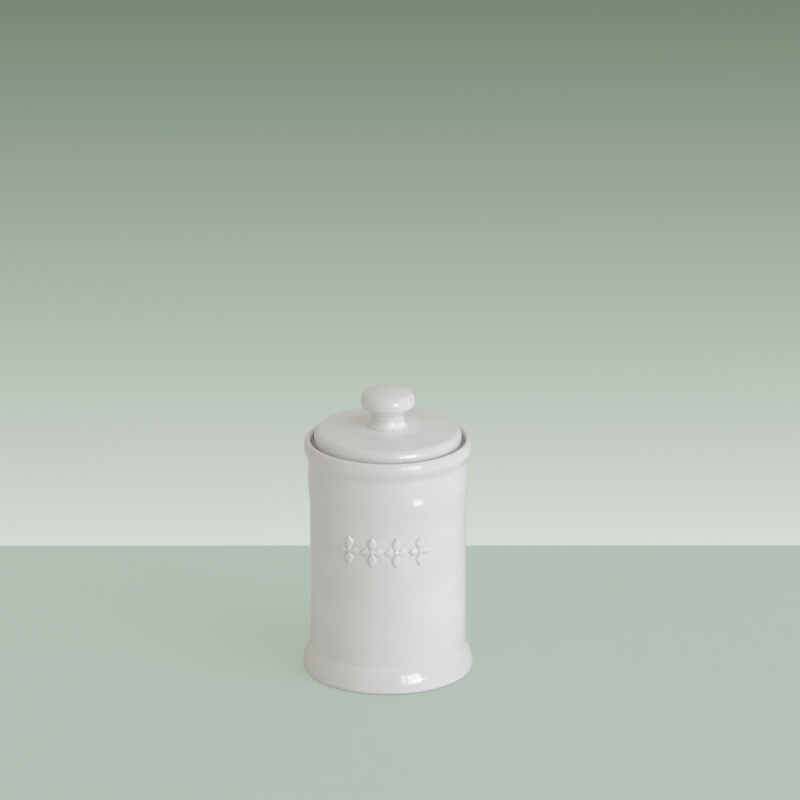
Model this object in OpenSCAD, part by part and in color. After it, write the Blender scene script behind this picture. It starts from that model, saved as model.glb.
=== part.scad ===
// Lidded salt jar in white glazed stoneware: a straight-walled jar with a swelling foot and a rolled
// rim, a drop-in lid that rests on a ledge inside the rim, and a knob joined on the lid.
// Millimetres, +Z up. The origin is the centre of the foot on the table, and the front faces -Y.

/* [Jar] */
// Outer diameter of the straight wall
wall_d = 91.6; // [84:0.2:96]
// Height of the jar, from the table to the top of the lip
jar_h = 142.8; // [120:0.2:170]
// Thickness of the wall
wall_t = 4.4; // [3.4:0.1:6]
// Thickness of the floor
floor_t = 5.5; // [4:0.5:9]
// Radius of the rounding between the inside wall and the floor
floor_round = 8; // [3:0.5:14]

/* [Foot] */
// Diameter of the foot at its widest
foot_d = 100; // [94:0.5:108]
// Height at which the foot has swept in to the wall
foot_h = 17.3; // [14:0.1:28]
// Height of the widest part of the foot
foot_band_h = 6; // [5.5:0.5:9]
// Radius of the rounding under the foot
foot_round = 5; // [2:0.5:5]
// Width of the bare ring that stands on the table
ring_w = 4; // [2.5:0.5:6]
// Depth of the recess inside that ring
recess_h = 2.2; // [1:0.1:3]

/* [Rim] */
// How far the neck stands out from the straight wall
neck_swell = 1.1; // [0.4:0.1:2.4]
// Height over which the wall widens to the neck
neck_flare_h = 21.5; // [8:0.5:26]
// Height of the upright neck
neck_h = 3; // [1:0.5:8]
// Height of the sweep from the neck out to the rolled rim
rim_sweep_h = 7.8; // [6:0.1:14]
// Height of the roll, from its widest circle up to the lip
rim_roll_h = 5.2; // [4:0.1:9]
// Thickness of the rim outside the gallery
rim_t = 4.1; // [3.4:0.1:6]
// Width of the rounding on the inside of the lip
lip_round_w = 1.8; // [0.8:0.1:2.6]
// Height of the rounding on the inside of the lip
lip_round_h = 2.2; // [1:0.1:3.4]

/* [Gallery] */
// Width of the ledge that carries the lid
ledge_w = 3.7; // [3:0.1:5.5]
// Depth of the ledge below the lip
gallery_h = 5; // [4:0.1:8]
// Radius of the rounding on the inner edge of the ledge
ledge_round = 1; // [0.4:0.1:1.6]

/* [Lid] */
// Clearance between the lid and the gallery wall
lid_gap = 1.85; // [0.8:0.05:2.2]
// Clearance under the lid where it rests on the ledge
seat_gap = 0.3; // [0.2:0.05:0.6]
// Height of the upright edge of the lid
lid_edge_h = 6.7; // [4.5:0.1:9]
// Radius of the lid's shoulder
lid_round = 3.7; // [2:0.1:5]
// Rise of the shallow dome above the shoulder
dome_rise = 2.5; // [1:0.1:8]
// Thickness of the dome
dome_t = 4.6; // [3.4:0.1:6]
// Radius of the rounding under the edge of the lid
lid_under_round = 0.8; // [0.3:0.1:1.4]

/* [Locating flange] */
// Clearance between the flange and the bore of the jar
flange_gap = 0.9; // [0.5:0.1:2]
// Thickness of the flange
flange_t = 3; // [2.4:0.1:4.5]
// Depth of the flange below the seat
flange_h = 8; // [4:0.5:14]
// Radius of the rounding on the lower edge of the flange
flange_round = 1.1; // [0.4:0.1:1.1]
// Radius of the rounding where the flange meets the dome
flange_root_round = 2.4; // [1:0.1:4]

/* [Knob] */
// Diameter of the knob's foot on the lid
knob_foot_d = 24; // [20:0.2:30]
// Height of the foot's rounded edge
knob_foot_edge_h = 0.4; // [0.2:0.1:1]
// Height of the flare from the foot in to the neck
knob_flare_h = 3; // [2:0.1:7]
// Diameter of the neck
knob_neck_d = 16.4; // [12:0.2:19]
// Height of the upright part of the neck
knob_neck_h = 1.7; // [0.5:0.1:5]
// Radius of the rounding from the neck to the underside of the cap
knob_neck_round = 3; // [1:0.1:4]
// Slope of the underside of the cap
knob_under_angle = 43; // [35:1:60]
// Diameter of the cap
cap_d = 31.5; // [28:0.1:38]
// Radius of the rounding under the cap's edge
cap_under_round = 1.2; // [1:0.1:3.6]
// Height of the upright edge of the cap
cap_edge_h = 3.1; // [0.5:0.1:5]
// Radius of the rounding over the cap's edge
cap_round = 4; // [2:0.1:6]
// Rise of the cap's dome above that rounding
cap_rise = 2.4; // [1:0.1:7]

/* [Relief] */
// Number of flowers in the row
flower_count = 4; // [1:1:6]
// Distance from one flower to the next, along the wall
flower_pitch = 14.2; // [13.2:0.1:20]
// Height of a flower
flower_h = 18; // [12:0.5:24]
// Width of a flower
flower_w = 13; // [9:0.5:13]
// Width of the upright petals
long_petal_w = 5; // [3.4:0.1:6]
// Width of the level petals
side_petal_w = 4.6; // [3.4:0.1:5.4]
// How far the petals stand out from the wall
relief_h = 1.1; // [0.7:0.1:1.8]
// Height of a petal's edge above the wall
petal_edge_h = 0.35; // [0.2:0.05:0.6]
// Diameter of the bead in the middle of a flower
bead_d = 4.2; // [3:0.1:5]
// How far the beads stand out from the wall
bead_proud = 1.4; // [1:0.1:2.2]

/* [Hidden] */
$fn = 128;
glaze = [0.93, 0.93, 0.92];

// Steps in a rounding, in a long sweep, in a dome and in one side of a petal
round_steps = 8;
sweep_steps = 12;
dome_steps = 14;
petal_steps = 8;
// Place of the row of flowers, as a share of the straight wall above the foot
flower_row_share = 0.8;
// Place where a petal starts under its bead, as a share of the bead's radius
petal_start_share = 0.35;
// Depth to which the relief is rooted in the wall
relief_root = wall_t / 2;

// Radii and heights of the jar
wall_r = wall_d / 2;
bore_r = wall_r - wall_t;
foot_r = foot_d / 2;
ring_in_r = foot_r - foot_round - ring_w;
floor_z = recess_h + floor_t;
neck_r = wall_r + neck_swell;
gallery_r = bore_r + ledge_w;
lip_r = gallery_r + lip_round_w;
rim_r = gallery_r + rim_t;
ledge_z = jar_h - gallery_h;
rim_z = jar_h - rim_roll_h;
neck_top_z = rim_z - rim_sweep_h;
neck_z = neck_top_z - neck_h;
flare_z = neck_z - neck_flare_h;

// Radii and heights of the lid
lid_r = gallery_r - lid_gap;
seat_z = ledge_z + seat_gap;
shoulder_r = lid_r - lid_round;
shoulder_z = seat_z + lid_edge_h;
shoulder_lean = atan(2 * dome_rise / lid_r);
dome_r = shoulder_r + lid_round * sin(shoulder_lean);
dome_z = shoulder_z + lid_round * cos(shoulder_lean);
flange_r = bore_r - flange_gap;
flange_in_r = flange_r - flange_t;
flange_z = seat_z - flange_h;

// Radii and heights of the knob
knob_foot_r = knob_foot_d / 2;
knob_neck_r = knob_neck_d / 2;
cap_r = cap_d / 2;
knob_z = dome_height(knob_foot_r);
knob_flare_z = knob_z + knob_foot_edge_h;
knob_neck_z = knob_flare_z + knob_flare_h;
knob_neck_top_z = knob_neck_z + knob_neck_h;
under_turn = 90 - knob_under_angle;
cone_in_r = knob_neck_r + knob_neck_round * (1 - cos(under_turn));
cone_in_z = knob_neck_top_z + knob_neck_round * sin(under_turn);
cone_out_r = cap_r - cap_under_round * (1 - cos(under_turn));
cone_out_z = cone_in_z + (cone_out_r - cone_in_r) * tan(knob_under_angle);
cap_edge_z = cone_out_z + cap_under_round * sin(under_turn);
cap_shoulder_z = cap_edge_z + cap_edge_h;
cap_lean = atan(2 * cap_rise / cap_r);
cap_dome_r = cap_r - cap_round * (1 - sin(cap_lean));
cap_dome_z = cap_shoulder_z + cap_round * cos(cap_lean);

// Places of the relief
flower_z = foot_h + (flare_z - foot_h) * flower_row_share;
petal_start = bead_d / 2 * petal_start_share;
long_petal_l = flower_h / 2 - petal_start;
side_petal_l = flower_w / 2 - petal_start;

// Height of the lid's upper face at radius r
function dome_height(r) = dome_z + dome_rise * (1 - pow(r / dome_r, 2));

// Points of an arc about [cx, cz], from angle a0 to angle a1
function arc(cx, cz, rx, rz, a0, a1) =
    [for (i = [0:round_steps]) let (a = a0 + (a1 - a0) * i / round_steps)
        [cx + rx * cos(a), cz + rz * sin(a)]];

// Points of an S-curve that leaves [r0, z0] upright and comes in to [r1, z1] upright
function sweep(r0, z0, r1, z1) =
    [for (i = [0:sweep_steps]) let (t = i / sweep_steps)
        [r0 + (r1 - r0) * (1 - cos(180 * t)) / 2, z0 + (z1 - z0) * t]];

// Points of a shallow dome that rises from [edge_r, edge_z] towards the axis, from radius r0 to r1
function dome(edge_r, edge_z, rise, r0, r1) =
    [for (i = [0:dome_steps]) let (r = r0 + (r1 - r0) * i / dome_steps)
        [r, edge_z + rise * (1 - pow(r / edge_r, 2))]];

// A list without its first point, where the outline already stands on that point
function onward(points) = [for (i = [1:len(points) - 1]) points[i]];

// Outline of a petal of length l and width w, centred on the origin and lying along X
function petal_outline(l, w) =
    let (side = [for (i = [0:petal_steps]) [l * (i / petal_steps - 1 / 2), w / 2 * sin(180 * i / petal_steps)]])
    concat(side, [for (i = [petal_steps - 1:-1:1]) [side[i][0], -side[i][1]]]);

// Section of the jar: up the outside, over the lip, down the gallery and the bore to the floor
jar_outline = concat(
    [[0, recess_h], [ring_in_r - recess_h, recess_h], [ring_in_r, 0]],
    arc(foot_r - foot_round, foot_round, foot_round, foot_round, -90, 0),
    sweep(foot_r, foot_band_h, wall_r, foot_h),
    sweep(wall_r, flare_z, neck_r, neck_z),
    sweep(neck_r, neck_top_z, rim_r, rim_z),
    onward(arc(lip_r, rim_z, rim_r - lip_r, rim_roll_h, 0, 90)),
    onward(arc(lip_r, jar_h - lip_round_h, lip_round_w, lip_round_h, 90, 180)),
    [[gallery_r, ledge_z]],
    arc(bore_r + ledge_round, ledge_z - ledge_round, ledge_round, ledge_round, 90, 180),
    arc(bore_r - floor_round, floor_z + floor_round, floor_round, floor_round, 0, -90),
    [[0, floor_z]]);

// Section of the lid: out under the dome, round the flange, along the seat and back over the dome
lid_root_r = flange_in_r - flange_root_round;
lid_root_z = dome_height(flange_in_r) - dome_t - flange_root_round;
lid_outline = concat(
    dome(dome_r, dome_z - dome_t, dome_rise, 0, lid_root_r),
    onward(arc(lid_root_r, lid_root_z, flange_root_round,
        dome_height(lid_root_r) - dome_t - lid_root_z, 90, 0)),
    arc(flange_in_r + flange_round, flange_z + flange_round, flange_round, flange_round, 180, 270),
    arc(flange_r - flange_round, flange_z + flange_round, flange_round, flange_round, 270, 360),
    [[flange_r, seat_z]],
    arc(lid_r - lid_under_round, seat_z + lid_under_round, lid_under_round, lid_under_round, -90, 0),
    arc(shoulder_r, shoulder_z, lid_round, lid_round, 0, 90 - shoulder_lean),
    onward(dome(dome_r, dome_z, dome_rise, dome_r, knob_foot_r)),
    [[0, knob_z]]);

// Section of the knob: out along its foot, in to the neck, out under the cap and over its dome
knob_outline = concat(
    [[0, knob_z], [knob_foot_r, knob_z]],
    arc(knob_foot_r, knob_neck_z, knob_neck_r - knob_foot_r, -knob_flare_h, 90, 0),
    arc(knob_neck_r + knob_neck_round, knob_neck_top_z, knob_neck_round, knob_neck_round,
        180, 180 - under_turn),
    arc(cap_r - cap_under_round, cap_edge_z, cap_under_round, cap_under_round, -under_turn, 0),
    arc(cap_r - cap_round, cap_shoulder_z, cap_round, cap_round, 0, 90 - cap_lean),
    onward(dome(cap_dome_r, cap_dome_z, cap_rise, cap_dome_r, 0)));

// Puts its children on the front of the wall, off the middle by a length along the wall.
// There X runs along the wall, Y runs up and Z stands out from it.
module on_wall(along) {
    rotate([0, 0, along / wall_r * 180 / PI])
        translate([0, -wall_r, flower_z])
            rotate([90, 0, 0])
                children();
}

// One petal: its outline, crowned along its length
module petal(l, w) {
    sag = relief_h - petal_edge_h;
    crown_r = (pow(w / 2, 2) + pow(sag, 2)) / (2 * sag);
    intersection() {
        translate([0, 0, -relief_root])
            linear_extrude(relief_root + relief_h + sag)
                polygon(petal_outline(l, w));
        translate([-l, 0, relief_h - crown_r])
            rotate([0, 90, 0])
                cylinder(r = crown_r, h = 2 * l);
    }
}

// One flower of four petals round a bead, off the middle of the row by a length along the wall
module flower(along) {
    for (side = [-1, 1]) {
        on_wall(along)
            translate([0, side * (petal_start + long_petal_l / 2), 0])
                rotate([0, 0, 90])
                    petal(long_petal_l, long_petal_w);
        on_wall(along + side * (petal_start + side_petal_l / 2))
            petal(side_petal_l, side_petal_w);
    }
    on_wall(along)
        translate([0, 0, bead_proud - bead_d / 2])
            sphere(d = bead_d);
}

module jar() {
    color(glaze) {
        rotate_extrude()
            polygon(jar_outline);
        for (i = [0:flower_count - 1])
            flower((i - (flower_count - 1) / 2) * flower_pitch);
    }
}

module lid() {
    color(glaze)
        rotate_extrude()
            polygon(lid_outline);
}

module knob() {
    color(glaze)
        rotate_extrude()
            polygon(knob_outline);
}

jar();
lid();
knob();
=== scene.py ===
"""A lidded salt jar in glossy white stoneware glaze: the jar, its drop-in lid and its knob."""
import logging
import math
from dataclasses import dataclass, field
from enum import Enum

import bmesh
import bpy
from mathutils import Matrix, Vector, noise


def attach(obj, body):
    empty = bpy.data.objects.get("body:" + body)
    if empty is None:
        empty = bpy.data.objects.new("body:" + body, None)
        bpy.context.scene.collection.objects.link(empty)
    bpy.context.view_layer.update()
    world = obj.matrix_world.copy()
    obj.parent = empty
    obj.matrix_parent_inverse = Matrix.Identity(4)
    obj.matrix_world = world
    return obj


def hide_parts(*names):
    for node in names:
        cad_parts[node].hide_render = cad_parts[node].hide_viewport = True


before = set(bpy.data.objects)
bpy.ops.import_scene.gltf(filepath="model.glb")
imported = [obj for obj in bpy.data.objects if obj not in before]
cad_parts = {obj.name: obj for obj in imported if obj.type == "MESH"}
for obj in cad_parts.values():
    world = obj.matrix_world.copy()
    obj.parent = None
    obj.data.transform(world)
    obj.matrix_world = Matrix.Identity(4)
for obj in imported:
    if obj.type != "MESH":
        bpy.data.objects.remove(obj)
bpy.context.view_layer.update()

MM = 0.001
TAU = 2 * math.pi
FACING = 2.8
FIT_ROUNDS = 8
LOG = logging.getLogger("salt_jar")
Colour = tuple[float, float, float, float]
Pair = tuple[float, float]
Section = list[bmesh.types.BMVert | bmesh.types.BMEdge]


class Skin(Enum):
    """What covers a stretch of an outline: glaze, or the bare fired body. The value is its mask."""

    GLAZED = 0.0
    BARE = 1.0


class Upright(Enum):
    """Which end of a bend stands upright."""

    START = "start"
    END = "end"


@dataclass
class Outline:
    """One closed section of a turned piece, drawn as radii and heights in metres.

    Each point also holds how bare it is of glaze and how thin the glaze lies there; the thin value
    also carries painted light and painted shade in places. A point closer than `same_point` to the
    last one is left out.
    """

    points: list[tuple[float, float, float, float]] = field(default_factory=list)
    skin: Skin = Skin.GLAZED
    same_point: float = 0.02 * MM

    def put(self, r: float, z: float, thin: float = 0.0) -> None:
        """Adds one point, unless the outline already stands on it.

        Args:
            r: Radius.
            z: Height.
            thin: How thin the glaze lies, from -1 where it pools to 1 on a sharp edge. On the knob
                and on the lid round it the value also carries painted light, and on the jar's foot
                painted shade.
        """
        if self.points:
            last_r, last_z = self.points[-1][:2]
            if math.hypot(r - last_r, z - last_z) < self.same_point:
                return
        self.points.append((max(r, 0.0), z, self.skin.value, thin))

    def line(self, r: float, z: float, steps: int) -> None:
        """Runs straight from the last point, in equal steps.

        Args:
            r: Radius to end at.
            z: Height to end at.
            steps: Number of steps.
        """
        r0, z0 = self.points[-1][:2]
        for i in range(1, steps + 1):
            self.put(r0 + (r - r0) * i / steps, z0 + (z - z0) * i / steps)

    def arc(self, centre: Pair, radii: Pair, turn: Pair, steps: int, thin: float = 0.0) -> None:
        """Follows an arc of a circle or an ellipse.

        Args:
            centre: Radius and height of its centre.
            radii: Its half width and half height.
            turn: Its first and last angle, in degrees.
            steps: Number of steps.
            thin: How thin the glaze lies at the middle of the arc; on the knob's flare and neck
                this is also painted light.
        """
        for i in range(steps + 1):
            a = math.radians(turn[0] + (turn[1] - turn[0]) * i / steps)
            bulge = math.sin(math.pi * i / steps)
            self.put(centre[0] + radii[0] * math.cos(a), centre[1] + radii[1] * math.sin(a),
                     thin * bulge)

    def sweep(self, r: float, z: float, steps: int) -> None:
        """Follows an S-curve that is upright at the last point and at its end.

        Args:
            r: Radius to end at.
            z: Height to end at.
            steps: Number of steps.
        """
        r0, z0 = self.points[-1][:2]
        for i in range(1, steps + 1):
            t = i / steps
            self.put(r0 + (r - r0) * (1 - math.cos(math.pi * t)) / 2, z0 + (z - z0) * t)

    def bend(self, r: float, z: float, upright: Upright, steps: int, thin: float = 0.0) -> None:
        """Follows a half parabola from the last point.

        Args:
            r: Radius to end at.
            z: Height to end at.
            upright: The end at which it stands upright.
            steps: Number of steps.
            thin: How thin the glaze lies at its middle; on the jar's foot this is also painted
                shade.
        """
        r0, z0 = self.points[-1][:2]
        for i in range(1, steps + 1):
            t = i / steps
            share = t * t if upright is Upright.START else 1 - (1 - t) ** 2
            self.put(r0 + (r - r0) * share, z0 + (z - z0) * t, thin * math.sin(math.pi * t))

    def dome(self, edge: Pair, rise: float, span: Pair, steps: int, pool_and_painted_light_r: float = 0.0) -> None:
        """Follows a shallow dome that rises from its edge towards the axis.

        Args:
            edge: Radius and height of the dome's edge.
            rise: Height of its middle over its edge.
            span: The radii to start and to end at.
            steps: Number of steps.
            pool_and_painted_light_r: Radius within which the dome turns lighter, more and more
                towards
                the end: glaze that pools, and painted light that lifts the knob's shadow on the
                    lid.
        """
        r0, r1 = span
        for i in range(steps + 1):
            r = r0 + (r1 - r0) * i / steps
            pooled_and_painted_light = smooth_step((pool_and_painted_light_r - r) / (pool_and_painted_light_r - r1)) if pool_and_painted_light_r > r1 else 0.0
            self.put(r, edge[1] + rise * (1 - (r / edge[0]) ** 2), -pooled_and_painted_light)


@dataclass
class TurnedPiece:
    """A ceramic piece turned about Z: an outline, spun, then softened by hand.

    The clay wanders by up to `wander`, in waves of about 1 / `wander_scale` metres that
    `wander_rise` draws out along Z. Nothing within `still_r` of the axis moves. Points closer
    than `weld` become one.
    """

    name: str
    node: str
    body: str
    slot: str
    columns: int = 256
    wander: float = 0.08 * MM
    wander_scale: float = 22.0
    wander_rise: float = 0.6
    still_r: float = 0.5 * MM
    weld: float = 0.002 * MM
    glaze_ior: float = 1.47

    def outline(self) -> Outline:
        """The piece's closed section, drawn so that the clay lies on the left of its way."""
        raise NotImplementedError

    def stand_out(self, turn: float, z: float, r: float) -> float:
        """How far the surface stands out from the turned form.

        Args:
            turn: Angle about Z, in radians, from the middle of the front.
            z: Height.
            r: Radius.

        Returns:
            A length in metres along the radius.
        """
        return 0.0

    def drift(self, co: Vector) -> float:
        """The slight unevenness that the fired clay has everywhere, never more than zero."""
        slow = noise.noise(Vector((co.x, co.y, co.z * self.wander_rise)) * self.wander_scale)
        return self.wander * (slow - 1.0) / 2

    def spun(self) -> bmesh.types.BMesh:
        """Spins the outline into a closed skin.

        Returns:
            The mesh, with point layers for the bare body and for the thickness of the glaze, which
            also carries painted light and painted shade.
        """
        bm = bmesh.new()
        bare = bm.verts.layers.float.new("bare")
        thin = bm.verts.layers.float.new("thin")
        ring: list[bmesh.types.BMVert] = []
        for r, z, b, t in self.outline().points:
            v = bm.verts.new((0.0, -r, z))
            v[bare], v[thin] = b, t
            ring.append(v)
        edges = [bm.edges.new(pair) for pair in zip(ring, ring[1:])]
        self.turn(bm, ring + edges)
        bmesh.ops.remove_doubles(bm, verts=bm.verts, dist=self.weld)
        bmesh.ops.recalc_face_normals(bm, faces=bm.faces)
        return bm

    def turn(self, bm: bmesh.types.BMesh, section: Section) -> None:
        """Spins the section once round."""
        bmesh.ops.spin(bm, geom=section, cent=(0, 0, 0), axis=(0, 0, 1), angle=TAU,
                       steps=self.columns, use_merge=True)

    def soften(self, bm: bmesh.types.BMesh) -> None:
        """Moves every point by the relief and by the drift of the clay.

        Args:
            bm: The spun mesh.
        """
        for v in bm.verts:
            r = math.hypot(v.co.x, v.co.y)
            if r < self.still_r:
                continue
            turn = math.atan2(v.co.x, -v.co.y)
            grown = 1 + (self.stand_out(turn, v.co.z, r) + self.drift(v.co)) / r
            v.co.x *= grown
            v.co.y *= grown

    def build(self, finish: "StonewareGlaze") -> bpy.types.Object:
        """Makes the piece, dresses it and hands it to its body.

        Args:
            finish: The glaze that covers it.

        Returns:
            The finished object.
        """
        bm = self.spun()
        self.soften(bm)
        mesh = bpy.data.meshes.new(self.name)
        bm.to_mesh(mesh)
        bm.free()
        mesh.polygons.foreach_set("use_smooth", [True] * len(mesh.polygons))
        piece = bpy.data.objects.new(self.name, mesh)
        bpy.context.scene.collection.objects.link(piece)
        mesh.materials.append(finish.material(self.name, self.glaze_ior))
        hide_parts(self.node)
        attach(piece, self.body)
        LOG.info("%s: %d faces", self.name, len(mesh.polygons))
        return piece


@dataclass
class FlowerRow:
    """The raised ornament on the front: a row of flowers, each of four petals round a bead.

    `soft` is the width over which a petal's edge rises, `edge_reach` how many such widths the
    ornament may reach past its size, and `tip_fall` how fast a petal ends past its tips.
    """

    count: int = 4
    pitch: float = 14.2 * MM
    height: float = 18 * MM
    width: float = 13 * MM
    long_petal_w: float = 5 * MM
    side_petal_w: float = 4.6 * MM
    relief: float = 1.1 * MM
    petal_edge: float = 0.35 * MM
    bead_r: float = 2.1 * MM
    bead_proud: float = 1.4 * MM
    petal_start: float = 0.735 * MM
    soft: float = 0.45 * MM
    edge_reach: float = 3
    tip_fall: float = 2

    def half_length(self) -> float:
        """Half the length of the row along the wall, with its soft edge."""
        return self.pitch * (self.count - 1) / 2 + self.width / 2 + self.edge_reach * self.soft

    def half_height(self) -> float:
        """Half the height of the row, with its soft edge."""
        return self.height / 2 + self.edge_reach * self.soft

    def petal(self, along: float, across: float, length: float, width: float) -> float:
        """Height of one crowned petal, pointed at both ends.

        Args:
            along: Length along the petal from its start.
            across: Length across it from its middle line.
            length: The petal's length.
            width: Its greatest width.

        Returns:
            Its height there, in metres.
        """
        share = min(max(along / length, 0.0), 1.0)
        half = width / 2 * math.sin(math.pi * share)
        beyond = max(-along, along - length, 0.0)
        inside = half - abs(across) - self.tip_fall * beyond
        edge = smooth_step(inside / self.soft + 0.5)
        crown = 0.0
        if half > 0 and inside > 0:
            crown = math.sqrt(max(1 - (across / half) ** 2, 0.0))
        return edge * (self.petal_edge + (self.relief - self.petal_edge) * crown)

    def bead(self, x: float, y: float) -> float:
        """Height of the round bead in the middle of a flower.

        Args:
            x: Length along the wall from the bead's middle.
            y: Height from its middle.

        Returns:
            Its height there, in metres.
        """
        d = math.hypot(x, y)
        rise = math.sqrt(max(self.bead_r ** 2 - d ** 2, 0.0)) - (self.bead_r - self.bead_proud)
        return max(rise, 0.0) * smooth_step((self.bead_r - d) / self.soft)

    def height_at(self, along: float, up: float) -> float:
        """Height of the relief above the wall.

        Args:
            along: Length along the wall from the middle of the row.
            up: Height from the middle of the row.

        Returns:
            The height of the highest petal or bead there, in metres.
        """
        if abs(along) > self.half_length() or abs(up) > self.half_height():
            return 0.0
        shift = (self.count - 1) / 2
        nearest = min(max(round(along / self.pitch + shift), 0), self.count - 1)
        x = along - (nearest - shift) * self.pitch
        long_l = self.height / 2 - self.petal_start
        side_l = self.width / 2 - self.petal_start
        return max(self.petal(abs(up) - self.petal_start, x, long_l, self.long_petal_w),
                   self.petal(abs(x) - self.petal_start, up, side_l, self.side_petal_w),
                   self.bead(x, up))


@dataclass
class JarBody(TurnedPiece):
    """The jar: foot, wall, rolled rim, gallery, bore and floor, with the flowers on its front.

    The fields that end in `_thin` say how thin the glaze lies there, as in Outline.put, and
    `glaze_line` gives the angles between which the foot's lower edge turns from bare to glazed.
    """

    name: str = "jar_glazed"
    node: str = "jar"
    body: str = "jar"
    slot: str = "jar_glaze"
    columns: int = 96
    front_columns: int = 240
    front_angle: float = math.radians(84)
    wall_r: float = 45.8 * MM
    wall_t: float = 4.4 * MM
    height: float = 142.8 * MM
    foot_r: float = 50 * MM
    foot_round: float = 5 * MM
    foot_edge_w: float = 3.7 * MM
    foot_low_h: float = 2.5 * MM
    foot_band_z: float = 3.2 * MM
    foot_turn_z: float = 15.4 * MM
    foot_top_z: float = 15.8 * MM
    # Thin glaze over the foot's swell, and also painted shade: its warmer, darker tone darkens the
    # swell that faces up into the light.
    foot_thin_and_painted_shade: float = 0.4
    glaze_line: Pair = (-82, -78)
    ring_w: float = 4 * MM
    ring_corner_shift: float = 0.4
    ring_corner_turn: float = 200
    recess_h: float = 2.2 * MM
    floor_t: float = 5.5 * MM
    floor_round: float = 8 * MM
    floor_thin: float = -0.4
    neck_swell: float = 1.1 * MM
    neck_flare_h: float = 19.5 * MM
    flare_drop: float = 8.3 * MM
    neck_h: float = 3 * MM
    rim_sweep_h: float = 7.8 * MM
    rim_roll_h: float = 5.2 * MM
    lip_roll_h: float = 4.6 * MM
    lip_roll_thin: float = 0.6
    rim_t: float = 4.1 * MM
    lip_round_w: float = 1.8 * MM
    lip_round_h: float = 2.2 * MM
    lip_round_thin: float = 0.5
    ledge_w: float = 3.7 * MM
    ledge_round: float = 1 * MM
    ledge_thin: float = 0.5
    gallery_h: float = 5 * MM
    gallery_thin: float = -0.8
    corner: float = 0.5 * MM
    flower_z: float = 87.7 * MM
    flowers: FlowerRow = field(default_factory=FlowerRow)

    @property
    def bore_r(self) -> float:
        """Radius of the bore."""
        return self.wall_r - self.wall_t

    @property
    def gallery_r(self) -> float:
        """Radius of the gallery wall, outside the lid."""
        return self.bore_r + self.ledge_w

    @property
    def neck_z(self) -> tuple[float, float, float]:
        """The heights of the neck.

        Returns:
            The heights at which the flare starts, the neck starts and the neck ends.
        """
        top = self.height - self.rim_roll_h - self.rim_sweep_h
        low = top - self.neck_h - self.flare_drop
        return low - self.neck_flare_h, low, top

    def outline(self) -> Outline:
        """Draws the section from the middle of the recess out, up, over the lip and down the bore.

        Returns:
            The closed section.
        """
        o = Outline()
        self.draw_foot(o)
        self.draw_wall(o)
        self.draw_rim(o)
        self.draw_inside(o)
        return o

    def draw_foot(self, o: Outline) -> None:
        """Draws the glazed recess, the bare ring and the foot up to the wall.

        Args:
            o: The outline to draw on.
        """
        ring_in = self.foot_r - self.foot_round - self.ring_w
        edge_r = self.foot_r - self.foot_edge_w
        edge_size = (self.foot_edge_w, self.foot_low_h)
        swell_h = self.foot_turn_z - self.foot_band_z
        swell_share = swell_h / (self.foot_top_z - self.foot_band_z)
        turn_r = self.foot_r - (self.foot_r - self.wall_r) * swell_share
        c = self.corner
        o.put(0, self.recess_h)
        o.line(ring_in - self.recess_h - c, self.recess_h, steps=16)
        o.skin = Skin.BARE
        o.line(ring_in - c, c, steps=5)
        o.arc((ring_in + c * self.ring_corner_shift, c), (c, c), (self.ring_corner_turn, 270),
              steps=4)
        o.line(self.foot_r - self.foot_round, 0, steps=5)
        o.line(edge_r, 0, steps=2)
        o.arc((edge_r, self.foot_low_h), edge_size, (-90, self.glaze_line[0]), steps=2)
        o.skin = Skin.GLAZED
        o.arc((edge_r, self.foot_low_h), edge_size, (self.glaze_line[1], 0), steps=12)
        o.line(self.foot_r, self.foot_band_z, steps=2)
        # The swell's thin-glaze tone is also painted shade.
        o.bend(turn_r, self.foot_turn_z, Upright.START, steps=16, thin=self.foot_thin_and_painted_shade)
        o.bend(self.wall_r, self.foot_top_z, Upright.END, steps=8)

    def draw_wall(self, o: Outline) -> None:
        """Draws the wall, close-stepped where the flowers stand, and the flare to the neck.

        Args:
            o: The outline to draw on.
        """
        flare_z, neck_z, neck_top_z = self.neck_z
        neck_r = self.wall_r + self.neck_swell
        o.line(self.wall_r, self.flower_z - self.flowers.half_height(), steps=30)
        o.line(self.wall_r, self.flower_z + self.flowers.half_height(), steps=70)
        o.line(self.wall_r, flare_z, steps=4)
        o.sweep(neck_r, neck_z, steps=20)
        o.line(neck_r, neck_top_z, steps=5)

    def draw_rim(self, o: Outline) -> None:
        """Draws the roll and the rounded lip.

        Args:
            o: The outline to draw on.
        """
        rim_r = self.gallery_r + self.rim_t
        lip_r = self.gallery_r + self.lip_round_w
        roll_z = self.height - self.lip_roll_h
        o.sweep(rim_r, self.height - self.rim_roll_h, steps=14)
        o.line(rim_r, roll_z, steps=2)
        o.arc((lip_r, roll_z), (rim_r - lip_r, self.lip_roll_h), (0, 90), steps=14,
              thin=self.lip_roll_thin)
        o.arc((lip_r, self.height - self.lip_round_h), (self.lip_round_w, self.lip_round_h),
              (90, 180), steps=8, thin=self.lip_round_thin)

    def draw_inside(self, o: Outline) -> None:
        """Draws the gallery, the ledge, the bore and the floor.

        Args:
            o: The outline to draw on.
        """
        c = self.corner
        ledge_z = self.height - self.gallery_h
        ledge_in = self.bore_r + self.ledge_round
        floor_z = self.recess_h + self.floor_t
        o.line(self.gallery_r, ledge_z + c, steps=3)
        o.arc((self.gallery_r - c, ledge_z + c), (c, c), (0, -90), steps=4, thin=self.gallery_thin)
        o.line(ledge_in, ledge_z, steps=3)
        o.arc((ledge_in, ledge_z - self.ledge_round), (self.ledge_round,) * 2, (90, 180), steps=5,
              thin=self.ledge_thin)
        o.line(self.bore_r, floor_z + self.floor_round, steps=22)
        o.arc((self.bore_r - self.floor_round, floor_z + self.floor_round),
              (self.floor_round,) * 2, (0, -90), steps=10, thin=self.floor_thin)
        o.line(0, floor_z, steps=10)

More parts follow.
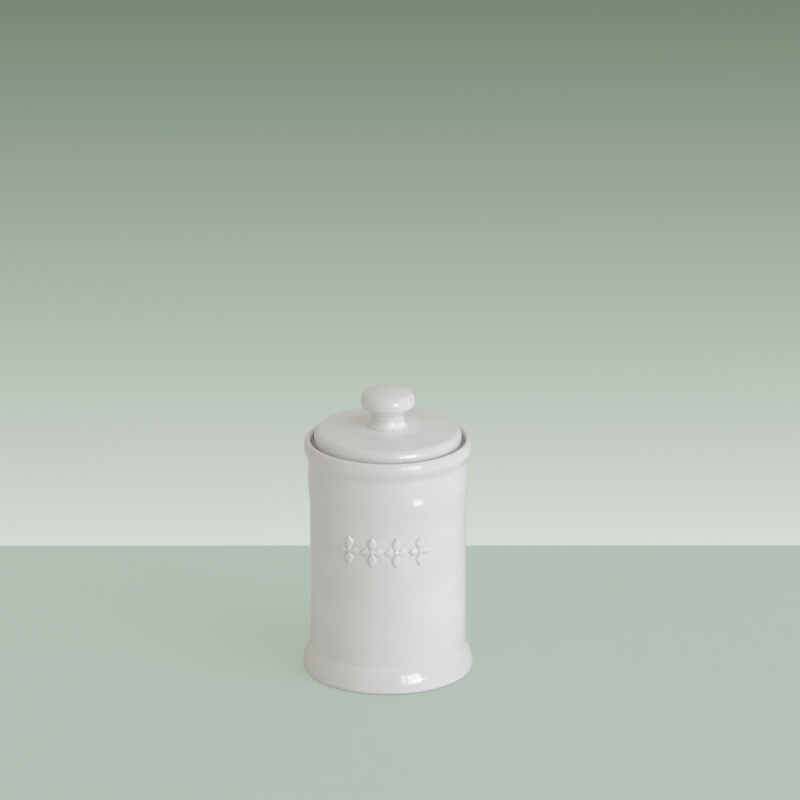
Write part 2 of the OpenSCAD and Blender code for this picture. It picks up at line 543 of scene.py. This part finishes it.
    def turn(self, bm: bmesh.types.BMesh, section: Section) -> None:
        """Spins the section in two stretches, close-stepped over the flowers.

        Args:
            bm: The mesh that holds the section.
            section: The section's points and edges.
        """
        start = Matrix.Rotation(-self.front_angle / 2, 3, "Z")
        bmesh.ops.rotate(bm, verts=bm.verts, cent=(0, 0, 0), matrix=start)
        front = bmesh.ops.spin(bm, geom=section, cent=(0, 0, 0), axis=(0, 0, 1),
                               angle=self.front_angle, steps=self.front_columns)
        bmesh.ops.spin(bm, geom=front["geom_last"], cent=(0, 0, 0), axis=(0, 0, 1),
                       angle=TAU - self.front_angle, steps=self.columns)

    def stand_out(self, turn: float, z: float, r: float) -> float:
        """How far the flowers stand out, on the outside of the wall alone.

        Args:
            turn: Angle about Z, in radians, from the middle of the front.
            z: Height.
            r: Radius.

        Returns:
            A length in metres along the radius.
        """
        if r < self.wall_r - self.wall_t / 2:
            return 0.0
        return self.flowers.height_at(turn * self.wall_r, z - self.flower_z)


@dataclass
class Lid(TurnedPiece):
    """The drop-in lid: a shallow dome on a rounded shoulder, and under it the locating flange.

    The glaze stops `glaze_stop_in` and `glaze_stop_out` rounds above the flange's tip. Within
    `pool_and_painted_light_r` of the axis, round the knob, the dome is painted lighter: glaze that
    pools there, and painted light that lifts the knob's shadow on it.
    """

    name: str = "lid_glazed"
    node: str = "lid"
    body: str = "lid"
    slot: str = "lid_glaze"
    glaze_ior: float = 1.64
    columns: int = 288
    jar: JarBody = field(default_factory=JarBody)
    lid_gap: float = 1.85 * MM
    seat_gap: float = 0.3 * MM
    seat_bare_h: float = 0.4 * MM
    edge_h: float = 6.7 * MM
    round_r: float = 3.7 * MM
    round_h: float = 4.8 * MM
    round_thin: float = 0.5
    dome_rise: float = 2.5 * MM
    dome_t: float = 4.6 * MM
    under_round: float = 0.8 * MM
    under_glaze_turn: float = -80
    flange_gap: float = 0.9 * MM
    flange_t: float = 3 * MM
    flange_h: float = 8 * MM
    flange_round: float = 1.1 * MM
    flange_root_round: float = 2.4 * MM
    flange_root_thin: float = -0.5
    glaze_stop_in: float = 1.3
    glaze_stop_out: float = 1.5
    knob_seat_r: float = 12 * MM
    knob_seat_edge: float = 1 * MM
    # Round the knob the dome is painted lighter: glaze that pools, and painted light over the
    # knob's shadow.
    pool_and_painted_light_r: float = 24 * MM

    @property
    def seat_z(self) -> float:
        """Height of the face that rests on the ledge."""
        return self.jar.height - self.jar.gallery_h + self.seat_gap

    @property
    def edge_r(self) -> float:
        """Radius of the lid."""
        return self.jar.gallery_r - self.lid_gap

    @property
    def dome_edge(self) -> Pair:
        """Where the shoulder becomes the dome.

        Returns:
            The radius and the height there.
        """
        lean = math.atan(2 * self.dome_rise / self.edge_r)
        return (self.edge_r - self.round_r * (1 - math.sin(lean)),
                self.seat_z + self.edge_h + self.round_r * math.cos(lean))

    def top_at(self, r: float) -> float:
        """Height of the dome at radius r."""
        return self.dome_edge[1] + self.dome_rise * (1 - (r / self.dome_edge[0]) ** 2)

    def shoulder(self) -> Pair:
        """Fits the ellipse that leads from the upright edge into the dome without a kink.

        Returns:
            Its half width, and the angle in radians at which the dome takes over.
        """
        width = self.edge_r - self.dome_edge[0]
        half_w, end = width, 0.0
        for _ in range(FIT_ROUNDS):
            end = math.atan2(self.round_h, half_w * 2 * self.dome_rise / self.dome_edge[0])
            half_w = width / (1 - math.cos(end))
        return half_w, end

    def outline(self) -> Outline:
        """Draws the section out under the dome, round the flange, along the seat and over the dome.

        Returns:
            The closed section.
        """
        o = Outline()
        self.draw_underside(o)
        self.draw_top(o)
        return o

    def draw_underside(self, o: Outline) -> None:
        """Draws the hollow, the flange and the seat.

        Args:
            o: The outline to draw on.
        """
        flange_r = self.jar.bore_r - self.flange_gap
        inner_r = flange_r - self.flange_t
        low_z = self.seat_z - self.flange_h
        tip = (self.flange_round,) * 2
        root_r = inner_r - self.flange_root_round
        root_z = self.top_at(inner_r) - self.dome_t - self.flange_root_round
        root_h = self.top_at(root_r) - self.dome_t - root_z
        under_edge = (self.dome_edge[0], self.dome_edge[1] - self.dome_t)
        under_r = self.edge_r - self.under_round
        o.dome(under_edge, self.dome_rise, (0, root_r), steps=18)
        o.arc((root_r, root_z), (self.flange_root_round, root_h), (90, 0), steps=8,
              thin=self.flange_root_thin)
        o.line(inner_r, low_z + self.flange_round * self.glaze_stop_in, steps=5)
        o.skin = Skin.BARE
        o.arc((inner_r + self.flange_round, low_z + self.flange_round), tip, (180, 270), steps=6)
        o.arc((flange_r - self.flange_round, low_z + self.flange_round), tip, (270, 360), steps=6)
        o.skin = Skin.GLAZED
        o.line(flange_r, low_z + self.flange_round * self.glaze_stop_out, steps=1)
        o.line(flange_r, self.seat_z - self.seat_bare_h, steps=4)
        o.skin = Skin.BARE
        o.line(flange_r, self.seat_z, steps=2)
        o.line(under_r, self.seat_z, steps=3)
        o.skin = Skin.GLAZED
        o.arc((under_r, self.seat_z + self.under_round), (self.under_round,) * 2,
              (self.under_glaze_turn, 0), steps=5)

    def draw_top(self, o: Outline) -> None:
        """Draws the upright edge, the shoulder, the dome and the knob's seat.

        Args:
            o: The outline to draw on.
        """
        half_w, end = self.shoulder()
        shoulder_z = self.dome_edge[1] - self.round_h * math.sin(end)
        seat_top = self.top_at(self.knob_seat_r)
        o.line(self.edge_r, shoulder_z, steps=5)
        o.arc((self.edge_r - half_w, shoulder_z), (half_w, self.round_h), (0, math.degrees(end)),
              steps=16, thin=self.round_thin)
        o.dome(self.dome_edge, self.dome_rise, (self.dome_edge[0], self.knob_seat_r), steps=22,
               pool_and_painted_light_r=self.pool_and_painted_light_r)
        o.line(self.knob_seat_r - self.knob_seat_edge, seat_top, steps=2)
        o.line(0, seat_top, steps=4)


@dataclass
class Knob(TurnedPiece):
    """The turned knob: a flared foot, a neck, a cone under the cap and the cap's dome.

    The foot reaches `fillet_w` past its seat and stands `foot_lift` off the lid there. The flare
    is an arc about a point `flare_set` outside the foot.
    """

    name: str = "knob_glazed"
    node: str = "knob"
    body: str = "lid"
    slot: str = "knob_glaze"
    glaze_ior: float = 1.52
    columns: int = 192
    wander: float = 0.05 * MM
    lid: Lid = field(default_factory=Lid)
    foot_edge_h: float = 0.4 * MM
    foot_lift: float = 0.005 * MM
    fillet_w: float = 0.6 * MM
    flare_set: float = 0.4 * MM
    flare_h: float = 4.9 * MM
    flare_turn: float = 86
    # Negative values at the flare and the neck: glaze that pools there, and painted light that
    # brightens the knob's foot and its neck under the cap.
    flare_pool_and_painted_light: float = -1.0
    neck_r: float = 9.3 * MM
    neck_h: float = 0.2 * MM
    neck_round: float = 3 * MM
    neck_pool_and_painted_light: float = -0.6
    under_angle: float = 43
    cap_r: float = 15.75 * MM
    cap_under_round: float = 1.2 * MM
    cap_under_thin: float = 0.4
    cap_edge_h: float = 2.2 * MM
    cap_round: float = 4 * MM
    cap_round_h: float = 5.0 * MM
    cap_round_thin: float = 0.3
    cap_rise: float = 2.5 * MM

    def shoulder(self) -> Pair:
        """Finds where the cap's round passes into its dome without a kink.

        Returns:
            The radius there, and the angle of the round in radians.
        """
        dome_r, end = self.cap_r, 0.0
        for _ in range(FIT_ROUNDS):
            end = math.atan2(self.cap_round_h, self.cap_round * 2 * self.cap_rise / dome_r)
            dome_r = self.cap_r - self.cap_round * (1 - math.cos(end))
        return dome_r, end

    def outline(self) -> Outline:
        """Draws the section out along the foot, in to the neck, out under the cap and over it.

        Returns:
            The closed section.
        """
        o = Outline()
        neck_top_z = self.draw_foot(o)
        edge_z = self.draw_cone(o, neck_top_z)
        self.draw_cap(o, edge_z)
        return o

    def draw_foot(self, o: Outline) -> float:
        """Draws the foot, its flare and the neck.

        Args:
            o: The outline to draw on.

        Returns:
            The height at which the neck ends.
        """
        foot_r = self.lid.knob_seat_r
        seat_z = self.lid.top_at(foot_r)
        neck_z = seat_z + self.foot_edge_h + self.flare_h
        edge_r = foot_r + self.fillet_w
        flare_r = edge_r + self.flare_set
        low_z = self.lid.top_at(edge_r) + self.foot_lift
        o.put(0, seat_z)
        o.line(foot_r, seat_z, steps=4)
        o.line(edge_r, low_z, steps=2)
        o.arc((flare_r, neck_z), (self.neck_r - flare_r, low_z - neck_z), (self.flare_turn, 0),
              steps=18, thin=self.flare_pool_and_painted_light)
        o.line(self.neck_r, neck_z + self.neck_h, steps=3)
        return neck_z + self.neck_h

    def draw_cone(self, o: Outline, neck_top_z: float) -> float:
        """Draws the turn out of the neck, the cone and the round under the cap's edge.

        Args:
            o: The outline to draw on.
            neck_top_z: The height at which the neck ends.

        Returns:
            The height at which the cap's edge stands upright.
        """
        turn = 90 - self.under_angle
        spread = 1 - math.cos(math.radians(turn))
        lift = math.sin(math.radians(turn))
        in_r = self.neck_r + self.neck_round * spread
        out_r = self.cap_r - self.cap_under_round * spread
        out_z = (neck_top_z + self.neck_round * lift
                 + (out_r - in_r) * math.tan(math.radians(self.under_angle)))
        edge_z = out_z + self.cap_under_round * lift
        o.arc((self.neck_r + self.neck_round, neck_top_z), (self.neck_round,) * 2,
              (180, 180 - turn), steps=6, thin=self.neck_pool_and_painted_light)
        o.line(out_r, out_z, steps=8)
        o.arc((self.cap_r - self.cap_under_round, edge_z), (self.cap_under_round,) * 2,
              (-turn, 0), steps=8, thin=self.cap_under_thin)
        return edge_z

    def draw_cap(self, o: Outline, edge_z: float) -> None:
        """Draws the cap's upright edge, its round and its dome.

        Args:
            o: The outline to draw on.
            edge_z: The height at which the edge starts.
        """
        dome_r, end = self.shoulder()
        shoulder_z = edge_z + self.cap_edge_h
        dome_edge = (dome_r, shoulder_z + self.cap_round_h * math.sin(end))
        o.line(self.cap_r, shoulder_z, steps=3)
        o.arc((self.cap_r - self.cap_round, shoulder_z), (self.cap_round, self.cap_round_h),
              (0, math.degrees(end)), steps=14, thin=self.cap_round_thin)
        o.dome(dome_edge, self.cap_rise, (dome_r, 0), steps=18)


def smooth_step(t: float) -> float:
    """Eases from 0 at t = 0 to 1 at t = 1."""
    t = min(max(t, 0.0), 1.0)
    return t * t * (3 - 2 * t)


def shade(name: str) -> tuple[bpy.types.Material, bpy.types.NodeTree, bpy.types.ShaderNode]:
    """Starts a node-based material.

    Args:
        name: The material's name.

    Returns:
        The material, its node tree and its Principled BSDF.
    """
    material = bpy.data.materials.new(name)
    material.use_nodes = True
    tree = material.node_tree
    return material, tree, tree.nodes["Principled BSDF"]


def add_node(tree: bpy.types.NodeTree, kind: str, settings: dict[str, object] | None = None,
             **inputs: object) -> bpy.types.ShaderNode:
    """Adds a node to a tree and sets or links its inputs.

    Args:
        tree: The node tree.
        kind: The node's type without its ShaderNode prefix.
        settings: Attributes to set on it.
        inputs: Values or sockets for its inputs, by name with _ for a space. A name such as
            in_0 means the input with that number.

    Returns:
        The node.
    """
    made = tree.nodes.new("ShaderNode" + kind)
    for key, value in (settings or {}).items():
        setattr(made, key, value)
    for key, value in inputs.items():
        label = int(key[3:]) if key.startswith("in_") else key.replace("_", " ")
        if isinstance(value, bpy.types.NodeSocket):
            tree.links.new(value, made.inputs[label])
        else:
            made.inputs[label].default_value = value
    return made


def add_math(tree: bpy.types.NodeTree, operation: str, a: object,
             b: object) -> bpy.types.NodeSocket:
    """Adds a Math node to a tree and gives its output."""
    return add_node(tree, "Math", {"operation": operation}, in_0=a, in_1=b).outputs[0]


def add_blend(tree: bpy.types.NodeTree, factor: object, a: object,
              b: object) -> bpy.types.NodeSocket:
    """Adds a Mix node for colours to a tree and gives its colour, which is b where factor is 1."""
    return add_node(tree, "Mix", {"data_type": "RGBA"}, Factor=factor, in_6=a, in_7=b).outputs[2]


class GroupMaker:
    """Builds one shader node group with named inputs and outputs."""

    def __init__(self, name: str, inputs: dict[str, object], outputs: dict[str, str]) -> None:
        """Makes the group's sockets.

        Args:
            name: The group's name.
            inputs: Each input's name and default, a number or a colour.
            outputs: Each output's name and socket type.
        """
        self.tree = bpy.data.node_groups.new(name, "ShaderNodeTree")
        for label, value in inputs.items():
            number = isinstance(value, (int, float))
            kind = "NodeSocketFloat" if number else "NodeSocketColor"
            socket = self.tree.interface.new_socket(label, in_out="INPUT", socket_type=kind)
            socket.default_value = value
        for label, kind in outputs.items():
            self.tree.interface.new_socket(label, in_out="OUTPUT", socket_type=kind)
        self.given = self.tree.nodes.new("NodeGroupInput").outputs
        self.result = self.tree.nodes.new("NodeGroupOutput").inputs

    def node(self, kind: str, **inputs: object) -> bpy.types.ShaderNode:
        """Adds a node to the group, as add_node does."""
        return add_node(self.tree, kind, **inputs)

    def math(self, operation: str, a: object, b: object) -> bpy.types.NodeSocket:
        """Adds a Math node to the group and gives its output."""
        return add_math(self.tree, operation, a, b)

    def blend(self, factor: object, a: object, b: object) -> bpy.types.NodeSocket:
        """Adds a Mix node for colours to the group and gives its colour."""
        return add_blend(self.tree, factor, a, b)

    def place(self) -> bpy.types.NodeSocket:
        """The piece's own coordinates."""
        return self.node("TexCoord").outputs["Object"]


def glaze_tone_group() -> bpy.types.NodeTree:
    """Colour of the glaze: warmer where it lies thin, lighter where it pools and where painted
    light is laid on, with faint specks.

    Returns:
        The node group.
    """
    g = GroupMaker("glaze_tone", {
        "Glaze": (0.8, 0.8, 0.8, 1), "Thin Colour": (0.8, 0.7, 0.6, 1),
        "Pool Colour": (0.7, 0.8, 0.8, 1), "Speck Colour": (0.4, 0.3, 0.2, 1),
        "Thin": 0.0, "Cloud Scale": 30.0, "Speck Scale": 400.0,
    }, {"Colour": "NodeSocketColor"})
    place = g.place()
    cloud = g.node("TexNoise", Vector=place, Scale=g.given["Cloud Scale"], Detail=3.0)
    drift = g.node("MapRange", Value=cloud.outputs["Fac"], From_Min=0.35, From_Max=0.65,
                   To_Min=-0.22, To_Max=0.22)
    spread = g.math("ADD", g.given["Thin"], drift.outputs[0])
    thin = g.math("MAXIMUM", spread, 0.0)
    # Negative Thin lightens towards the lighter colour: glaze that pools, and painted light where
    # the knob and the lid round it are brightened.
    pooled_and_painted_light = g.node("MapRange", Value=spread, From_Min=0.0, From_Max=-1.0, To_Min=0.0, To_Max=1.0)
    warm = g.blend(thin, g.given["Glaze"], g.given["Thin Colour"])
    pooled_and_painted_tone = g.blend(pooled_and_painted_light.outputs[0], warm, g.given["Pool Colour"])
    cells = g.node("TexVoronoi", Vector=place, Scale=g.given["Speck Scale"])
    rare = g.node("TexNoise", Vector=place, Scale=90.0, Detail=1.0)
    near = g.node("MapRange", Value=cells.outputs["Distance"], From_Min=0.05, From_Max=0.13,
                  To_Min=0.5, To_Max=0.0)
    few = g.node("MapRange", Value=rare.outputs["Fac"], From_Min=0.62, From_Max=0.66,
                 To_Min=0.0, To_Max=1.0)
    speck = g.math("MULTIPLY", near.outputs[0], few.outputs[0])
    g.tree.links.new(g.blend(speck, pooled_and_painted_tone, g.given["Speck Colour"]), g.result["Colour"])
    return g.tree


def glaze_edge_group() -> bpy.types.NodeTree:
    """Mask of the bare body, whose border wanders as the edge of a wiped glaze does.

    Returns:
        The node group.
    """
    g = GroupMaker("glaze_edge", {"Bare": 0.0, "Wander": 0.3, "Scale": 160.0},
                   {"Mask": "NodeSocketFloat"})
    ragged = g.node("TexNoise", Vector=g.place(), Scale=g.given["Scale"], Detail=2.0)
    centred = g.math("SUBTRACT", ragged.outputs["Fac"], 0.5)
    shift = g.math("MULTIPLY", centred, g.given["Wander"])
    total = g.math("ADD", g.given["Bare"], shift)
    mask = g.node("MapRange", Value=total, From_Min=0.4, From_Max=0.6)
    g.tree.links.new(mask.outputs[0], g.result["Mask"])
    return g.tree


def glaze_skin_group() -> bpy.types.NodeTree:
    """Height of the skin: the soft dimple of glaze, or the fine grain of the bare body.

    Returns:
        The node group.
    """
    g = GroupMaker("glaze_skin", {
        "Mask": 0.0, "Dimple Scale": 260.0, "Dimple": 0.2, "Grain Scale": 2600.0, "Grain": 1.0,
    }, {"Height": "NodeSocketFloat"})
    place = g.place()
    dimple = g.node("TexNoise", Vector=place, Scale=g.given["Dimple Scale"], Detail=1.5)
    grain = g.node("TexNoise", Vector=place, Scale=g.given["Grain Scale"], Detail=4.0)
    low = g.math("MULTIPLY", dimple.outputs["Fac"], g.given["Dimple"])
    high = g.math("MULTIPLY", grain.outputs["Fac"], g.given["Grain"])
    both = g.node("Mix", Factor=g.given["Mask"], A=low, B=high)
    g.tree.links.new(both.outputs[0], g.result["Height"])
    return g.tree


@dataclass(frozen=True)
class StonewareGlaze:
    """Glossy white glaze over a pale fired body."""

    tone: bpy.types.NodeTree
    edge: bpy.types.NodeTree
    skin: bpy.types.NodeTree
    glaze: Colour = (0.80, 0.795, 0.785, 1)
    thin: Colour = (0.76, 0.735, 0.70, 1)
    # Lighter than the glaze: glaze that pools, and also painted light that brightens the knob's
    # neck and foot and the lid round the knob.
    pool_and_painted_light: Colour = (0.92, 0.925, 0.91, 1)
    speck: Colour = (0.42, 0.36, 0.30, 1)
    body: Colour = (0.66, 0.60, 0.52, 1)
    gloss: float = 0.07
    body_roughness: float = 0.82
    dimple_depth: float = 0.03 * MM

    def material(self, name: str, ior: float) -> bpy.types.Material:
        """Makes the material of one piece.

        Args:
            name: The piece's name.
            ior: Refraction of the glaze on this piece, which sets how strongly it mirrors the
                windows.

        Returns:
            The material, which reads the piece's bare and thin attributes.
        """
        material, tree, shader = shade("glaze_" + name)
        bare = add_node(tree, "Attribute", {"attribute_name": "bare"}).outputs["Fac"]
        thin = add_node(tree, "Attribute", {"attribute_name": "thin"}).outputs["Fac"]
        tone = add_node(tree, "Group", {"node_tree": self.tone}, Glaze=self.glaze,
                        Thin_Colour=self.thin, Pool_Colour=self.pool_and_painted_light, Speck_Colour=self.speck,
                        Thin=thin)
        edge = add_node(tree, "Group", {"node_tree": self.edge}, Bare=bare).outputs["Mask"]
        skin = add_node(tree, "Group", {"node_tree": self.skin}, Mask=edge)
        colour = add_blend(tree, edge, tone.outputs["Colour"], self.body)
        rough = add_node(tree, "Mix", Factor=edge, A=self.gloss, B=self.body_roughness)
        bump = add_node(tree, "Bump", Height=skin.outputs["Height"], Distance=self.dimple_depth)
        tree.links.new(colour, shader.inputs["Base Color"])
        tree.links.new(rough.outputs[0], shader.inputs["Roughness"])
        tree.links.new(bump.outputs["Normal"], shader.inputs["Normal"])
        shader.inputs["IOR"].default_value = ior
        return material


@dataclass(frozen=True)
class Tabletop:
    """The plain pale table, and the backdrop that is painted on it behind the jar.

    The camera sees the table, and from `edge_y` to `far_y` the backdrop, which fades from `near`
    to `far`. All other rays see `bounce`. Their glow to the camera keeps the jar's shadow faint.
    """

    table: Colour = (0.210, 0.244, 0.213, 1)
    near: Colour = (0.588, 0.605, 0.585, 1)
    far: Colour = (0.328, 0.378, 0.326, 1)
    bounce: Colour = (0.80, 0.80, 0.79, 1)
    glow: float = 1.5
    edge_y: float = 0.205
    edge_soft: float = 0.001
    far_y: float = 1.46
    fade_bend: float = 0.87
    fade_gamma: float = 2.2
    roughness: float = 0.9
    size: float = 8.0
    facing: float = FACING

    def build(self) -> bpy.types.Object:
        """Makes the floor and dresses it.

        Returns:
            The floor's object.
        """
        bm = bmesh.new()
        bmesh.ops.create_grid(bm, x_segments=4, y_segments=4, size=self.size / 2)
        mesh = bpy.data.meshes.new("tabletop")
        bm.to_mesh(mesh)
        bm.free()
        floor = bpy.data.objects.new("tabletop", mesh)
        floor.rotation_euler.z = math.radians(self.facing)
        bpy.context.scene.collection.objects.link(floor)
        mesh.materials.append(self.material())
        return floor

    def material(self) -> bpy.types.Material:
        """Makes the floor's material.

        Returns:
            The material.
        """
        material, tree, shader = shade("tabletop")
        place = add_node(tree, "TexCoord").outputs["Object"]
        y = add_node(tree, "SeparateXYZ", Vector=place).outputs["Y"]
        back = add_node(tree, "MapRange", Value=y, From_Min=self.edge_y, From_Max=self.far_y)
        fade = add_math(tree, "POWER", back.outputs[0], self.fade_bend)
        wall = add_blend(tree, fade, self.near, self.far)
        wall = add_node(tree, "Gamma", Color=wall, Gamma=self.fade_gamma).outputs[0]
        line = add_node(tree, "MapRange", Value=y, From_Min=self.edge_y - self.edge_soft,
                        From_Max=self.edge_y + self.edge_soft)
        seen = add_blend(tree, line.outputs[0], self.table, wall)
        direct = add_node(tree, "LightPath").outputs["Is Camera Ray"]
        colour = add_blend(tree, direct, self.bounce, seen)
        lit = add_math(tree, "MULTIPLY", direct, self.glow)
        tree.links.new(colour, shader.inputs["Base Color"])
        tree.links.new(colour, shader.inputs["Emission Color"])
        tree.links.new(lit, shader.inputs["Emission Strength"])
        shader.inputs["Roughness"].default_value = self.roughness
        shader.inputs["Specular IOR Level"].default_value = 0.0
        return material


@dataclass(frozen=True)
class Lamp:
    """One soft area lamp, placed by its direction from the point it aims at.

    A glint lamp gives reflections and no diffuse light, and one without sheen the reverse.
    """

    name: str
    azimuth: float
    elevation: float
    distance: float
    width: float
    height: float
    radiance: float
    colour: tuple[float, float, float] = (1.0, 1.0, 1.0)
    aim: tuple[float, float, float] = (0.0, 0.0, 0.08)
    glint: bool = False
    sheen: bool = True

    def build(self, facing: float) -> bpy.types.Object:
        """Hangs the lamp.

        Args:
            facing: Direction of the camera about Z, in degrees, from which azimuths are counted.

        Returns:
            The lamp's object.
        """
        light = bpy.data.lights.new(self.name, "AREA")
        light.shape = "RECTANGLE"
        light.size, light.size_y = self.width, self.height
        light.energy = self.radiance * self.width * self.height * math.pi
        light.color = self.colour
        turn, up = math.radians(self.azimuth + facing), math.radians(self.elevation)
        way = Vector((math.sin(turn) * math.cos(up), -math.cos(turn) * math.cos(up), math.sin(up)))
        lamp = bpy.data.objects.new(self.name, light)
        lamp.location = Vector(self.aim) + way * self.distance
        lamp.rotation_euler = (-way).to_track_quat("-Z", "Y").to_euler()
        lamp.visible_camera = False
        lamp.visible_diffuse = not self.glint
        lamp.visible_glossy = self.sheen
        bpy.context.scene.collection.objects.link(lamp)
        return lamp


LAMPS = (
    Lamp("key", azimuth=38, elevation=8, distance=5.0, width=2.75, height=2.75, radiance=2.85,
         colour=(0.985, 1.0, 1.075), sheen=False),
    Lamp("key_side", azimuth=62, elevation=8, distance=5.0, width=2.75, height=2.75,
         radiance=2.05, colour=(0.955, 1.0, 1.19), sheen=False),
    Lamp("key_top", azimuth=50, elevation=60, distance=5.0, width=2.75, height=2.75,
         radiance=1.35, colour=(0.93, 0.98, 1.46), sheen=False),
    Lamp("window_wide", azimuth=36, elevation=7.5, distance=2.0, width=0.65, height=1.34,
         radiance=5.4, glint=True),
    Lamp("window_narrow", azimuth=21, elevation=7.5, distance=2.0, width=0.17, height=1.34,
         radiance=4.9, glint=True),
    Lamp("table_glint", azimuth=43.7, elevation=-21.4, distance=0.204, width=0.056,
         height=0.014, radiance=6.0, aim=(0.0191, -0.0416, 0.1175), glint=True),
)


@dataclass(frozen=True)
class Studio:
    """The camera at the photograph's angle, the lamps and the soft sky."""

    facing: float = FACING
    elevation: float = 20.3
    distance: float = 4.0
    middle_z: float = 0.07
    aim_right: float = 0.0071
    aim_z: float = 0.166
    pixels_per_metre: float = 1700
    frame_px: float = 800
    sensor: float = 36.0
    clip_end: float = 50
    sky: Colour = (1.025, 1.005, 0.89, 1)
    sky_strength: float = 0.515
    lamps: tuple[Lamp, ...] = LAMPS

    def build(self) -> None:
        """Makes the camera, the lamps and the sky."""
        self.place_camera()
        for lamp in self.lamps:
            lamp.build(self.facing)
        world = bpy.data.worlds.new("sky")
        world.use_nodes = True
        back = world.node_tree.nodes["Background"]
        back.inputs["Color"].default_value = self.sky
        back.inputs["Strength"].default_value = self.sky_strength
        bpy.context.scene.world = world
        bpy.context.scene.view_settings.view_transform = "Standard"

    def place_camera(self) -> None:
        """Stands the camera on its ray from the jar and aims it at the middle of the frame."""
        up = math.radians(self.elevation)
        turn = Matrix.Rotation(math.radians(self.facing), 3, "Z")
        way = turn @ Vector((0, -math.cos(up), math.sin(up)))
        eye = way * self.distance + Vector((0, 0, self.middle_z))
        aim = turn @ Vector((self.aim_right, 0, self.aim_z))
        data = bpy.data.cameras.new("camera")
        data.sensor_width = self.sensor
        data.lens = self.sensor * self.pixels_per_metre * self.distance / self.frame_px
        data.clip_end = self.clip_end
        camera = bpy.data.objects.new("camera", data)
        camera.location = eye
        camera.rotation_euler = (aim - eye).to_track_quat("-Z", "Y").to_euler()
        bpy.context.scene.collection.objects.link(camera)
        bpy.context.scene.camera = camera


def main() -> None:
    """Builds the jar, the lid, the knob and the studio in order."""
    logging.basicConfig(level=logging.INFO, format="%(name)s: %(message)s")
    finish = StonewareGlaze(glaze_tone_group(), glaze_edge_group(), glaze_skin_group())
    jar = JarBody()
    lid = Lid(jar=jar)
    knob = Knob(lid=lid)
    for piece in (jar, lid, knob):
        piece.build(finish)
    Tabletop().build()
    Studio().build()


if __name__ == "__main__":
    main()
